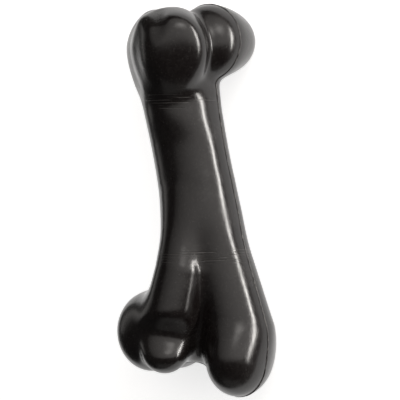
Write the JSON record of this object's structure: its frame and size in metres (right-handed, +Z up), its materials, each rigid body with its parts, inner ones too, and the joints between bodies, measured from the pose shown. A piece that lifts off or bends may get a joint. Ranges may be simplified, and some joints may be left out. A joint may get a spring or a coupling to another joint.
{
  "type": "rubber chew bone",
  "caption": "Bone-shaped hollow chew toy of black rubber: two moulded half-shells bonded by a gum strip that shows as a raised seam, with unlike knobbed ends.",
  "frame": {"origin": "centre of the bounding box in X and Y, on the ground that the bone lies on", "axes": "+X along the bone to the end with the forward ball, +Z up out of the half that the picture shows"},
  "size_m": [0.266, 0.1094, 0.0881],
  "materials": {
    "rubber": "smooth moulded black rubber, softly glossy, with fine dust and scuffs",
    "gum": "trimmed flash, slightly duller than the shells"
  },
  "bodies": {
    "root": {"upper_shell": "rubber", "lower_shell": "rubber", "seam_strip": "gum"}
  },
  "joints": []
}
